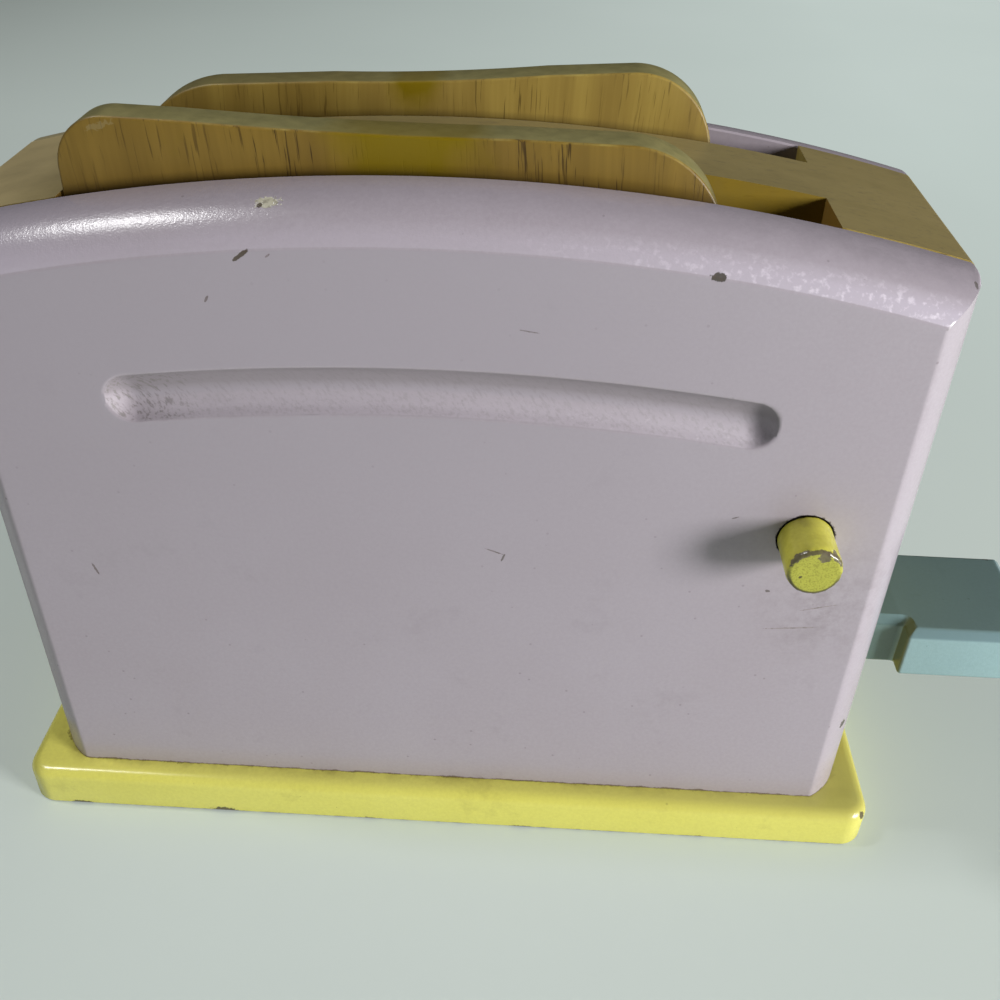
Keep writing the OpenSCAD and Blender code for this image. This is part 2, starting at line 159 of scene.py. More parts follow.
def surface(output, colour, roughness, height, relief, **look):
    """Joins a Principled surface, with its height as a relief, to a material's output."""
    tree = output.id_data
    bump = put(tree, "Bump", {"Height": height, "Strength": relief, "Distance": RELIEF_DEPTH})
    shader = put(tree, "BsdfPrincipled", {"Base Color": colour, "Roughness": roughness,
                                          "Normal": bump.outputs["Normal"], **look})
    tree.links.new(shader.outputs["BSDF"], output.inputs["Surface"])


def new_material(name):
    """Makes a node material; gives it, its Object coordinates and its output node."""
    material = bpy.data.materials.new(name)
    material.use_nodes = True
    tree = material.node_tree
    tree.nodes.clear()
    return material, put(tree, "TexCoord").outputs["Object"], put(tree, "OutputMaterial")


def aimed_light(name, place, width, height, watts, colour=(1.0, 1.0, 1.0)):
    """Hangs a rectangular area lamp at a place, turned to face the middle of the body."""
    lamp = bpy.data.lights.new(name, "AREA")
    lamp.shape = "RECTANGLE"
    lamp.size = width
    lamp.size_y = height
    lamp.energy = watts
    lamp.color = colour
    holder = bpy.data.objects.new(name, lamp)
    turn = (Vector(BODY_MIDDLE) - Vector(place)).to_track_quat("-Z", "Y")
    holder.matrix_world = Matrix.Translation(place) @ turn.to_matrix().to_4x4()
    scene.collection.objects.link(holder)


RELIEF_DEPTH = 0.05 * MM
BODY_MIDDLE = (0.0, 0.0, 0.08)
ROOM_STRENGTH = 0.03
WALL_SEEN = 0.50
aimed_light("window", (1.05, -0.62, 0.34), width=0.34, height=0.40, watts=18.8, colour=(1.0, 0.995, 0.98))
aimed_light("left_wall", (-1.00, -0.50, 0.36), width=0.9, height=0.6, watts=0.55)
aimed_light("ceiling", (-0.684, 0.0, 1.155), width=0.15, height=0.15, watts=5.6)

world = bpy.data.worlds.new("room")
scene.world = world
world.use_nodes = True
room = world.node_tree.nodes["Background"]
room.inputs["Color"].default_value = tint("#EEF2EF")
wall_seen = times(put(world.node_tree, "LightPath").outputs["Is Camera Ray"], WALL_SEEN)
world.node_tree.links.new(maths("ADD", wall_seen, ROOM_STRENGTH), room.inputs["Strength"])

FLOOR_HALF = 3.0
GLOW_NEAR = 0.33
GLOW_FAR = 0.72
GLOW_STRENGTH = 0.85
floor_mesh = bpy.data.meshes.new("floor")
floor_mesh.from_pydata(
    [(-FLOOR_HALF, -FLOOR_HALF, 0), (FLOOR_HALF, -FLOOR_HALF, 0),
     (FLOOR_HALF, FLOOR_HALF, 0), (-FLOOR_HALF, FLOOR_HALF, 0)], [], [(0, 1, 2, 3)])
floor = bpy.data.objects.new("floor", floor_mesh)
scene.collection.objects.link(floor)
floor_paint, coords, output = new_material("floor_paint")
tree = output.id_data
floor_colour = blend(noise(coords, 2.2, 3.0), "#D2DCD5", "#DEE7E1")
matt = put(tree, "BsdfPrincipled", {"Base Color": floor_colour, "Roughness": 0.9})
# The floor seen by the camera: a glow mixed in, painted light, stronger further back and to the right.
glow_colour = blend(noise(coords, 3.0, 3.0), "#CFDDD8", "#DCE9E4")
glow = put(tree, "Emission", {"Color": glow_colour, "Strength": GLOW_STRENGTH})
behind = axes(coords)
far_back = ramp(behind["Y"], 0.02, 0.55, GLOW_NEAR, GLOW_FAR)
right_of = ramp(behind["X"], -0.55, 0.30, -0.52, 0.16)
share = maths("ADD", far_back, times(right_of, ramp(behind["Y"], -0.1, 0.35)))
seen = times(put(tree, "LightPath").outputs["Is Camera Ray"], share)
mixed = put(tree, "MixShader", {"Fac": seen, 1: matt.outputs["BSDF"], 2: glow.outputs["Emission"]})
tree.links.new(mixed.outputs["Shader"], output.inputs["Surface"])
floor_mesh.materials.append(floor_paint)


# ---- Base board -------------------------------------------------------------
# A yellow painted board under the whole toy, its top edge rounded over with a
# router and its plan corners turned. The body is screwed down on it.
BASE_ROUND = 3.0 * MM
BASE_EASE = 0.8 * MM
BASE_CORNER = 6.5 * MM
BASE_CAP = 5 * MM
FOOT_CUT = 8 * MM


def rounded_rectangle(half_x, half_y, radius, steps=10):
    """Outline of a rectangle whose corners are quarter circles, anticlockwise.

    Each corner is its centre plus the radius times (cosine, sine) of an angle
    that runs through its own quarter turn."""
    turn = np.linspace(0, pi / 2, steps)
    corners = []
    for quarter, (sx, sy) in enumerate([(1, 1), (-1, 1), (-1, -1), (1, -1)]):
        angle = turn + quarter * pi / 2
        centre = np.array([sx * (half_x - radius), sy * (half_y - radius)])
        corners.append(centre + radius * np.stack([np.cos(angle), np.sin(angle)], axis=1))
    return np.concatenate(corners)


def shrink(outline, inset):
    """Moves each point of a closed anticlockwise outline inwards by the inset.

    The inward direction is the mean of the two neighbouring sides' normals,
    lengthened so that both sides move by the full inset."""
    ahead = np.roll(outline, -1, axis=0) - outline
    ahead /= np.linalg.norm(ahead, axis=1, keepdims=True)
    normal_ahead = np.stack([-ahead[:, 1], ahead[:, 0]], axis=1)
    mean = normal_ahead + np.roll(normal_ahead, 1, axis=0)
    mean /= np.sum(mean * mean, axis=1, keepdims=True) / 2
    return outline + inset * mean


def ring_surface(name, rings):
    """Closed mesh through a stack of closed rings, capped flat at both ends.

    rings is an array (ring, point, 3). Each quad joins a point to the next
    point and to the same two points of the next ring."""
    count, size, _ = rings.shape
    index = np.arange(count * size).reshape(count, size)
    after = np.roll(index, -1, axis=1)
    quads = np.stack([index[:-1], after[:-1], after[1:], index[1:]], axis=-1).reshape(-1, 4)
    faces = quads.tolist() + [index[0, ::-1].tolist(), index[-1].tolist()]
    return solid_piece(name, rings.reshape(-1, 3), faces)


def solid_piece(name, points, faces):
    """Makes a closed mesh object, its faces pointing outwards, smooth up to 40 degrees."""
    mesh = bpy.data.meshes.new(name)
    mesh.from_pydata(np.asarray(points).tolist(), [], faces)
    mesh.validate()
    mesh.shade_smooth()
    mesh.set_sharp_from_angle(angle=radians(40))
    piece = bpy.data.objects.new(name, mesh)
    scene.collection.objects.link(piece)
    return piece


def quarter_round(radius, steps):
    """Points (inset, drop) of a quarter circle from the flat face to the side.

    At each angle up to 90 degrees, the inset is the radius times one minus
    the sine, and the drop is the radius times one minus the cosine."""
    angle = np.linspace(0, pi / 2, steps)
    return np.stack([radius * (1 - np.sin(angle)), radius * (1 - np.cos(angle))], axis=1)


def ring_at(plan, height):
    """A plan's outline as a flat ring at a height."""
    return np.column_stack([plan, np.full(len(plan), height)])


def stack(outline, profile):
    """Rings of a flat-faced board: the outline, drawn in by each (inset, height) of a profile."""
    return np.array([ring_at(shrink(outline, inset), height) for inset, height in profile])


def sprayed(coords, paint, cloud, dirt, smudge, specks, peel, rounded):
    """Sprayed enamel on wood: its colour, roughness and height.

    Tone: two paint tones under cloudy noise, smudges, and specks in a few
    random cells of a Voronoi pattern. Relief: fine orange peel and slow waves,
    with coarser beads where the mask rounded is 1."""
    clouds = noise(coords, 24.0, 4.0)
    tone = blend(ramp(clouds, 0.25, 0.78), paint, cloud)
    smudged = times(ramp(noise(coords, 60.0, 8.0, 0.72), 0.58, 0.80), smudge)
    cell = put(coords.id_data, "TexVoronoi", {"Vector": coords, "Scale": 420.0}).outputs
    lot = put(coords.id_data, "SeparateColor", {"Color": cell["Color"]}).outputs
    chosen = ramp(lot["Red"], 0.925, 0.93)
    size = ramp(lot["Green"], 0.0, 1.0, 0.05, 0.15)
    spot = ramp(maths("SUBTRACT", cell["Distance"], size), 0.03, -0.03)
    grainy = ramp(noise(coords, 1100.0, 3.0, 0.7), 0.35, 0.65, 0.0, 0.09)
    specked = maths("MAXIMUM", times(spot, chosen, specks), grainy)
    beads = maths("ADD", times(noise(coords, 800.0, 3.0), 2.7), times(noise(coords, 2900.0), 2.2))
    peeled = maths("ADD", times(noise(coords, 1500.0), peel), times(beads, rounded))
    height = maths("ADD", peeled, times(noise(coords, 130.0), 0.9))
    return lay(tone, (smudged, dirt), (specked, dirt)), ramp(clouds, 0.1, 0.9, 0.18, 0.28), height


def chip(coords, place, size, turn, ragged):
    """Mask of a small ragged oval; its place and half sizes in millimetres, its turn in degrees."""
    turned = turned_about_y(vectors("SUBTRACT", coords, [v * MM for v in place]), radians(turn))
    far = vectors("LENGTH", vectors("DIVIDE", turned, [v * MM for v in size]))
    shift = times(maths("SUBTRACT", noise(coords, 1400.0, 3.0), 0.5), ragged)
    return ramp(maths("ADD", far, shift), 1.1, 0.9)


BARE_WOOD = "#4E4334"
PRIMER = "#C9C5AE"


def painted(name, paint, cloud, dirt, marks, chips, smudge=0.3, specks=0.6, peel=0.5, face_axis="Y",
            matt=None):
    """Paint over wood, the marks on it, and its chips, which lie a little lower than the paint.

    marks gives the marks at a site; matt may give a mask of the places where
    the paint has lost its gloss. A chip is its place and its half sizes in
    millimetres, its turn in degrees and its colour."""
    material, coords, output = new_material(name)
    here = site(coords)
    _, place, facing = here
    rounded = ramp(maths("ABSOLUTE", facing[face_axis]), 0.97, 0.85)
    colour, roughness, height = sprayed(coords, paint, cloud, dirt, smudge, specks, peel, rounded)
    colour = lay(colour, *marks(*here))
    for centre, size, turn, bare in chips:
        mask = chip(coords, centre, size, turn, 2.2 if bare == PRIMER else 1.3)
        shade = blend(ramp(noise(coords, 900.0, 3.0), 0.48, 0.62, 0.0, 0.45), bare, "#55493A")
        colour = lay(colour, (times(mask, 0.92), shade))
        height = maths("SUBTRACT", height, times(mask, 2.0))
    if matt:
        roughness = maths("MAXIMUM", roughness, times(matt(place), 0.6))
    surface(output, colour, roughness, height, 0.30)
    return material


def dress(piece, material, body, slot_name, *nodes):
    """Gives a finished piece its material and its body, and hides the nodes that it stands for. slot_name is
    not used.
    """
    piece.data.materials.append(material)
    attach(piece, body)
    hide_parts(*nodes)


(_, _, base_z0), (base_x1, base_y1, base_z1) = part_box("base_board")
base_outline = rounded_rectangle(base_x1, base_y1, BASE_CORNER)
top_profile = quarter_round(BASE_ROUND, 9)[::-1]
base_profile = (
    [(BASE_EASE, base_z0), (BASE_EASE * 0.3, base_z0 + BASE_EASE * 0.3), (0, base_z0 + BASE_EASE)]
    + [(inset, base_z1 - drop) for inset, drop in top_profile]
    + [(BASE_CAP, base_z1)]
)
base_piece = ring_surface("base_board_painted", stack(base_outline, base_profile))


def base_grime_and_shade(coords, place, _facing):
    """Marks on the base: a thin ragged brown line round the body's foot, olive dust beside it with painted
    contact shade, painted shade on the right part, most on its top, and rubbed places along the lower edge."""
    (_, body_y0, _), (body_x1, _, _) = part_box("front_panel")
    across = maths("SUBTRACT", maths("ABSOLUTE", place["Y"]), -body_y0)
    along = maths("SUBTRACT", maths("ABSOLUTE", place["X"]), body_x1)
    cut_off = times(maths("ADD", maths("ADD", across, along), FOOT_CUT), cos(pi / 4))
    away = maths("MAXIMUM", maths("MAXIMUM", across, along), cut_off)
    reach = ramp(away, 0.0, 1.3 * MM, 0.50, 0.0)
    line = ramp(maths("ADD", reach, noise(coords, 520.0, 5.0, 0.75)), 0.90, 1.06, 0.0, 0.75)
    patchy = ramp(noise(coords, 75.0, 4.0, 0.65), 0.45, 0.70)
    # Olive dust beside the foot, with painted contact shade.
    dust_and_shade = times(ramp(away, 0.0, 3.2 * MM, 0.75, 0.0), patchy)
    # Painted shade: the right part, most on its top face.
    right = times(ramp(place["X"], 20 * MM, 105 * MM, 0.0, 0.75),
                  ramp(place["Z"], 9 * MM, 12 * MM, 0.25, 1.0))
    low = ramp(place["Z"], 0.0, 2.0 * MM, 0.50, 0.0)
    worn = ramp(maths("ADD", low, noise(coords, 170.0, 5.0, 0.65)), 0.90, 0.97, 0.0, 0.85)
    return [(line, "#74643A"), (dust_and_shade, "#9A8D45"), (right, "#C3BC66"), (worn, "#5C4E33")]


butter_base = painted(
    "butter_base", "#EAE574", "#E4DE6A", "#94863F", base_grime_and_shade, smudge=0.35, specks=0.5, face_axis="Z",
    chips=[((-59.8, -47, 0.2), (3.6, 5, 1.6), 0, BARE_WOOD),
           ((111.2, -45.0, 10.0), (0.8, 1.2, 1.4), 30, BARE_WOOD),
           ((-99, -47, 0.2), (3.0, 5, 1.0), 0, BARE_WOOD),
           ((21, -47, 0.2), (3.2, 5, 0.7), 0, BARE_WOOD),
           ((-20, 46, 0.6), (2.2, 5, 0.8), 0, BARE_WOOD)])
dress(base_piece, butter_base, "housing", "butter_paint", "base_board")


# ---- Front and back panels --------------------------------------------------
# Two thick boards cut to the same arch. The outer face's top and end edges are
# chamfered and sanded soft, then sprayed lavender. The front one has a groove
# run along an arc with a round-nosed cutter, and a through hole for the peg.
(_, front_y0, panel_z0), (panel_x1, front_y1, panel_z1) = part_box("front_panel")
ARCH_RISE = 13.5 * MM
EDGE_R = 16.8 * MM
CREASE = radians(30)
CORNER_ROUND = 1.5 * MM
PANEL_T = front_y1 - front_y0
ARCH_R = (panel_x1 ** 2 + ARCH_RISE ** 2) / (2 * ARCH_RISE)
ARCH_Z = panel_z1 - ARCH_R
# The groove: its arc's chord, rise and height, the cutter, and where its marks and finer mesh lie.
GROOVE_CHORD = 128.4 * MM
GROOVE_RISE = 4.4 * MM
GROOVE_Z = 131.0 * MM
CUTTER_R = 6.35 * MM
GROOVE_DEPTH = 3.2 * MM
GROOVE_R = (GROOVE_CHORD ** 2 / 4 + GROOVE_RISE ** 2) / (2 * GROOVE_RISE)
GROOVE_REACH = GROOVE_CHORD / 2 + CUTTER_R + 1.0 * MM
GROOVE_END = (57 * MM, 74 * MM)
GROOVE_LOW = 117 * MM
GROOVE_HIGH = 139 * MM
# Wear: the chamfer's lowest height, the stretch over which wear grows, and the smear's oval.
BAND_LOW = 142 * MM
TO_THE_RIGHT = (10 * MM, 95 * MM)
SMEAR_AT = (88 * MM, front_y0, 80 * MM)
SMEAR_HALF = (19.2 * MM, 50 * MM, 23.8 * MM)
# The peg's place and its hole.
PEG_X = 80.2 * MM
PEG_Z = 98.5 * MM
PEG_HOLE_R = 6.35 * MM


def soft_chamfer(steps=18):
    """Points (inset, depth) over the sanded chamfer: one arc from a crease with the face to the edge.

    At an angle a from the crease's angle to 90 degrees, the inset is the arc's
    radius times one minus the sine of a, and the depth is the radius times the
    cosine of the crease's angle less that of a. The crease itself is eased."""
    angle = np.linspace(CREASE, pi / 2, steps)
    over = np.stack([EDGE_R * (1 - np.sin(angle)), EDGE_R * (cos(CREASE) - np.cos(angle))], axis=1)
    return np.concatenate([[over[0] + [0.45 * MM, 0.0]], [over[0] + [0.12 * MM, 0.04 * MM]],
                           [over[0] + [-0.25 * MM, 0.2 * MM]], over[1:]])


def arch_height(x, inset=0.0):
    """Height of the arch at x: the circle's centre plus the root of (r - inset)^2 - x^2.

    Where the arch meets the ends it is sanded round: a quarter circle, whose
    radius shrinks with the inset, takes the height down."""
    radius = max(CORNER_ROUND - inset, 0.0)
    over = np.clip(np.abs(x) - (panel_x1 - inset - radius), 0, radius)
    down = radius - np.sqrt(radius ** 2 - over ** 2)
    return ARCH_Z + np.sqrt((ARCH_R - inset) ** 2 - np.minimum(np.abs(x), panel_x1) ** 2) - down


def spread(start, end, step, dense):
    """Places from start to end a step apart, with finer steps inside each dense (low, high, step)."""
    marks = [np.arange(start, end, step), [end]]
    for low, high, fine in dense:
        marks.append(np.arange(low, high, fine))
    places = np.unique(np.round(np.concatenate(marks), 7))
    keep = np.concatenate([[True], np.diff(places) > 0.25 * min([step] + [d[2] for d in dense])])
    keep[-1] = True
    return places[keep]


def groove_sink(x, z):
    """Depth of the groove below the face, its lip softened by the paint.

    The distance from the groove's centre line, an arc with round ends, gives
    the cutter's circle; a square root blends it into the face."""
    centre_z = GROOVE_Z - GROOVE_R
    half_angle = np.arcsin(GROOVE_CHORD / 2 / GROOVE_R)
    angle = np.clip(np.arctan2(x, z - centre_z), -half_angle, half_angle)
    away = np.hypot(x - GROOVE_R * np.sin(angle), z - centre_z - GROOVE_R * np.cos(angle))
    inside = np.sqrt(np.maximum(CUTTER_R ** 2 - away ** 2, 0)) - (CUTTER_R - GROOVE_DEPTH)
    beyond = (CUTTER_R - away) - (CUTTER_R - GROOVE_DEPTH)
    sink = np.where(away < CUTTER_R * 0.9, inside, np.minimum(inside, beyond))
    lip = 0.30 * MM
    return 0.5 * (sink + np.sqrt(sink ** 2 + lip ** 2))


def panel_mesh(name, outer_y, back_y, grooved):
    """Arched panel as one closed grid.

    The face is a grid of columns at constant x whose rows run from the base
    to the arch. Its border is carried out over the chamfer and round the edge
    as rings, each drawn in by less and lying deeper, to the flat back."""
    profile = soft_chamfer()
    border = profile[0, 0]
    reach = panel_x1 - border
    corner = 6 * MM
    dense_x = [(-reach, corner - reach, 0.3 * MM), (reach - corner, reach, 0.3 * MM)]
    if grooved:
        dense_x += [(-GROOVE_END[1], -GROOVE_END[0], 0.6 * MM), (*GROOVE_END, 0.6 * MM)]
    across = spread(-reach, reach, 2.2 * MM, dense_x)
    dense_up = [(0.745, 0.858, 0.0028)] if grooved else []
    up = spread(0.0, 1.0, 0.016, dense_up)
    side = np.sign(back_y - outer_y)
    X, T = np.meshgrid(across, up)
    Z = panel_z0 + T * (arch_height(X, border) - panel_z0)
    sink = groove_sink(X, Z) if grooved else np.zeros_like(X)
    face = np.stack([X, outer_y + side * sink, Z], axis=-1)
    rows, columns = X.shape
    index = np.arange(rows * columns).reshape(rows, columns)
    squares = np.stack([index[:-1, :-1], index[:-1, 1:], index[1:, 1:], index[1:, :-1]], axis=-1)
    quads = [squares.reshape(-1, 4)]
    edge_index = np.concatenate([index[0, :-1], index[:-1, -1], index[-1, :0:-1], index[:0:-1, 0]])
    edge_x = face.reshape(-1, 3)[edge_index, 0] / reach
    on_top = np.concatenate([np.zeros(columns - 1), up[:-1], np.ones(columns - 1), up[:0:-1]])
    profile_back = np.concatenate([profile[1:], [[0.0, PANEL_T - 0.4 * MM], [0.4 * MM, PANEL_T]]])
    rings = []
    for inset, depth in profile_back:
        x = edge_x * (panel_x1 - inset)
        z = panel_z0 + on_top * (arch_height(x, inset) - panel_z0)
        rings.append(np.stack([x, np.full_like(x, outer_y + side * depth), z], axis=1))
    ring_index = rows * columns + np.arange(len(rings) * len(edge_index)).reshape(len(rings), -1)
    all_rings = np.concatenate([edge_index[None], ring_index])
    after = np.roll(all_rings, -1, axis=1)
    quads.append(np.stack([all_rings[:-1], all_rings[1:], after[1:], after[:-1]], axis=-1).reshape(-1, 4))
    faces = np.concatenate(quads).tolist() + [ring_index[-1, ::-1].tolist()]
    if side < 0:
        faces = [corners[::-1] for corners in faces]
    return solid_piece(name, np.concatenate([face.reshape(-1, 3)] + rings), faces)


def drill(piece, start, end, radius, sides=96):
    """Cuts a round hole from start to end, along Y, clean through a piece."""
    turn = np.linspace(0, 2 * pi, sides, endpoint=False)
    circle = np.stack([start[0] + radius * np.cos(turn), np.zeros(sides),
                       start[2] - radius * np.sin(turn)], axis=1)
    rings = np.array([circle + [0, start[1], 0], circle + [0, end[1], 0]])
    cutter = ring_surface("cutter", rings)
    cut = piece.modifiers.new("hole", "BOOLEAN")
    cut.object = cutter
    cut.solver = "EXACT"
    shape = bpy.data.meshes.new_from_object(piece.evaluated_get(bpy.context.evaluated_depsgraph_get()))
    piece.modifiers.clear()
    old = piece.data
    piece.data = shape
    shape.name = old.name
    bpy.data.meshes.remove(old)
    bpy.data.objects.remove(cutter)
    shape.set_sharp_from_angle(angle=radians(40))


front_piece = panel_mesh("front_panel_painted", front_y0, front_y1, grooved=True)
drill(front_piece, (PEG_X, front_y0 - 0.005, PEG_Z), (PEG_X, front_y1 + 0.005, PEG_Z), PEG_HOLE_R)
(_, back_y0, _), (_, back_y1, _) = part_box("back_panel")
back_piece = panel_mesh("back_panel_painted", back_y1, back_y0, grooved=False)


def from_peg_axis(coords):
    """Distance of a place from the peg's axis, whatever its Y."""
    from_centre = vectors("SUBTRACT", coords, (PEG_X, 0.0, PEG_Z))
    return vectors("LENGTH", vectors("MULTIPLY", from_centre, (1.0, 0.0, 1.0)))


def in_groove(place):
    """Mask of the groove: 1 where the surface lies below the face between the groove's heights."""
    sunk = ramp(place["Y"], front_y0 + 0.06 * MM, front_y0 + 0.40 * MM)
    above = ramp(place["Z"], GROOVE_LOW, GROOVE_LOW + 1 * MM)
    below = ramp(place["Z"], GROOVE_HIGH, GROOVE_HIGH - 1 * MM)
    between = ramp(maths("ABSOLUTE", place["X"]), GROOVE_REACH + 1 * MM, GROOVE_REACH)
    return times(sunk, above, below, between)


def over_arch(place):
    """Height of a place over the arch: z plus x squared over twice the radius, less the crown's z."""
    fall = maths("DIVIDE", times(place["X"], place["X"]), 2 * ARCH_R)
    return maths("SUBTRACT", maths("ADD", place["Z"], fall), panel_z1)


def face_marks(coords, place, facing):
    """Marks on the flat face: a grey smear below the peg, torn paint round its hole, grime at the foot,
    and painted shade towards the upper left."""
    fine = noise(coords, 230.0, 7.0, 0.75)
    far = vectors("LENGTH", vectors("DIVIDE", vectors("SUBTRACT", coords, SMEAR_AT), SMEAR_HALF))
    smear = times(ramp(far, 0.1, 1.0, 0.5, 0.0), ramp(fine, 0.44, 0.66))
    torn_edge = ramp(from_peg_axis(coords), PEG_HOLE_R, PEG_HOLE_R + 1.2 * MM, 0.40, 0.0)
    torn = ramp(maths("ADD", torn_edge, noise(coords, 700.0, 4.0, 0.7)), 0.86, 0.92)
    foot = ramp(place["Z"], panel_z0, panel_z0 + 1.5 * MM, 0.55, 0.0)
    grime_and_shade = ramp(maths("ADD", foot, fine), 0.86, 1.0, 0.0, 0.85)
    # Painted shade on the flat face, growing upwards and to the left.
    painted_shade_upper_left = times(ramp(maths("ABSOLUTE", facing["Y"]), 0.97, 0.99), ramp(place["Z"], 25 * MM, 140 * MM),
                   ramp(place["X"], 20 * MM, 90 * MM, 0.8, 0.2))
    return [(smear, "#857A7C"), (torn, "#3B3328"), (grime_and_shade, "#65573F"), (painted_shade_upper_left, "#A9A1AB")]


def band_marks(coords, place, facing):
    """Marks on the chamfer over the arch: dust with painted shade on its upper part, painted light with
    painted glints on its lower part, all stronger to the right, and painted light at the left end."""
    sloped = ramp(maths("ABSOLUTE", facing["Y"]), 0.94, 0.90)
    on_band = times(sloped, ramp(place["Z"], BAND_LOW, BAND_LOW + 2 * MM))
    upper = times(on_band, ramp(facing["Z"], 0.72, 0.93))
    # Dust on the upward-facing upper part, with painted shade, stronger to the right.
    dust_and_painted_light = times(upper, ramp(noise(coords, 160.0, 5.0, 0.7), 0.30, 0.60, 0.45, 1.0))
    dust_and_shade = times(dust_and_painted_light, ramp(place["X"], *TO_THE_RIGHT, 0.25, 0.95))
    # Painted light at the left end.
    painted_light_band_left = times(on_band, ramp(place["X"], -55 * MM, -100 * MM, 0.0, 0.55))
    # Painted light on the lower part, and painted glints on it, stronger to the right.
    lower = times(on_band, ramp(facing["Z"], 0.78, 0.62), ramp(facing["Z"], 0.25, 0.42))
    painted_light_band_lower = times(lower, ramp(place["X"], *TO_THE_RIGHT, 0.35, 0.8))
    glint_pattern = ramp(noise(coords, 700.0, 4.0, 0.6), 0.52, 0.66, 0.0, 0.75)
    painted_glints_band = times(lower, ramp(place["X"], *TO_THE_RIGHT), glint_pattern)
    return [(dust_and_shade, "#989098"), (painted_light_band_left, "#C6BDCC"), (painted_light_band_lower, "#C6BDCB"), (painted_glints_band, "#E9E0EC")]


def groove_marks(coords, place, facing):
    """Marks in the groove: painted shade under its upper lip, painted light with painted glints on its
    lower side, and rubbed wrinkles, most at its left end."""
    inside = in_groove(place)
    # Painted shade under the upper lip, on the downward-facing side.
    painted_shade_under_lip = times(inside, ramp(facing["Z"], 0.10, -0.22, 0.0, 0.85))
    # Painted light on the upward-facing lower side.
    painted_light_groove_lower = times(inside, ramp(facing["Z"], 0.10, 0.60, 0.0, 0.45),
                ramp(place["X"], -66 * MM, -54 * MM))
    # Painted glints on that side, stronger to the right.
    painted_glints_groove = times(painted_light_groove_lower, ramp(noise(coords, 1300.0, 3.0, 0.6), 0.58, 0.70),
                   ramp(place["X"], *TO_THE_RIGHT, 0.15, 0.9))
    drawn = vectors("MULTIPLY", turned_about_y(coords, radians(-50)), (0.3, 1.0, 1.0))
    rubbed_and_shade = times(inside, ramp(place["X"], -50 * MM, -60 * MM, 0.20, 0.70),
                   ramp(noise(drawn, 1500.0, 3.0, 0.6), 0.50, 0.64))
    return [(painted_shade_under_lip, "#91898F"), (painted_light_groove_lower, "#D2C9D4"), (painted_glints_groove, "#F0EAF2"), (rubbed_and_shade, "#7A7472")]


def front_marks(*here):
    """All the marks on the front panel, from the face to the groove."""
    return face_marks(*here) + band_marks(*here) + groove_marks(*here)


FACE_Y = front_y0 / MM
LAVENDER = ("#B3AAB4", "#AEA4AD", "#6E6566")
FRONT_CHIPS = [
    ((-37.3, FACE_Y, 159.5), (2.0, 9, 0.42), 38, BARE_WOOD),
    ((-32.0, FACE_Y, 159.7), (0.6, 9, 0.2), 38, "#8C8085"),
    ((-32.9, -34.0, 167.9), (2.5, 1.2, 3.0), 0, PRIMER),
    ((-34.3, -34.6, 167.7), (0.5, 0.6, 3.0), 0, BARE_WOOD),
    ((52.9, -40.7, 158.8), (1.6, 1.4, 0.8), 0, "#4A453C"),
    ((101.8, -37.2, 37.0), (0.9, 2.0, 1.3), 0, "#4A453C"),
    ((-106.0, -28.5, 82.0), (1.2, 1.2, 1.6), 0, "#6A6462"),
    ((-81.3, FACE_Y, 79.6), (0.30, 9, 1.7), 18, "#7A6E70"),
    ((12.0, FACE_Y, 90.6), (2.2, 9, 0.20), -20, "#877C80"),
    ((14.0, FACE_Y, 88.8), (0.22, 9, 1.1), -20, "#6F6766"),
    ((-45.1, FACE_Y, 150.2), (0.25, 9, 0.7), -30, "#7A6E70"),
    ((64.2, FACE_Y, 103.2), (0.8, 9, 0.2), 20, "#746B6C"),
    ((74.6, FACE_Y, 82.9), (0.5, 9, 0.4), 0, "#746B6C"),
    ((18.0, FACE_Y, 146.0), (2.0, 9, 0.16), -8, "#8C8388"),
    ((81.7, FACE_Y, 71.9), (6.0, 9, 0.20), 6, "#9A8F91"),
    ((87.0, FACE_Y, 78.6), (4.0, 9, 0.16), 16, "#9A8F91"),
    ((103.7, -33.5, 156.8), (0.45, 1.2, 1.3), 0, "#6E6968"),
    ((105.0, -33.5, 153.0), (0.7, 1.4, 1.0), 0, "#6A6662"),
]
lavender_front = painted("lavender_front", *LAVENDER, front_marks, FRONT_CHIPS,
                         smudge=0.22, specks=0.45, peel=0.55, matt=in_groove)
BACK_Y = back_y1 / MM


def inner_face(coords, place, facing):
    """The hidden face towards the slots: overspray on bare wood with painted shade deepening below the top,
    and a bare patch at the top left.
    """
    # Overspray on the inner face with painted shade, deeper below the top.
    overspray_and_shade = times(ramp(facing["Y"], -0.9, -0.5, 0.85, 0.0),
                   ramp(over_arch(place), -1.5 * MM, -7 * MM, 0.38, 1.0))
    mottled = blend(noise(coords, 120.0, 4.0), "#594E53", "#6B6066")
    on_top = times(ramp(facing["Z"], 0.5, 0.8), ramp(place["Y"], back_y0 + 8 * MM, back_y0 + 5 * MM))
    bare = times(ramp(place["X"], -72 * MM, -84 * MM), on_top)
    return [(overspray_and_shade, mottled), (bare, "#BFB288")]


lavender_back = painted(
    "lavender_back", *LAVENDER, inner_face, specks=0.45, peel=0.55,
    chips=[((40, BACK_Y, 90), (1.2, 9, 0.7), 30, "#746B6C"),
           ((-60, BACK_Y, 40), (0.4, 9, 1.8), 10, "#746B6C"),
           ((-100.2, 38.2, 120), (0.9, 2, 1.3), 0, BARE_WOOD),
           ((20, 36, 167.6), (1.8, 2, 1.6), 0, PRIMER),
           ((96.8, 40.2, 150), (1.1, 2, 1.3), 0, BARE_WOOD)])
dress(front_piece, lavender_front, "housing", "lavender_paint", "front_panel")
dress(back_piece, lavender_back, "housing", "lavender_paint", "back_panel")


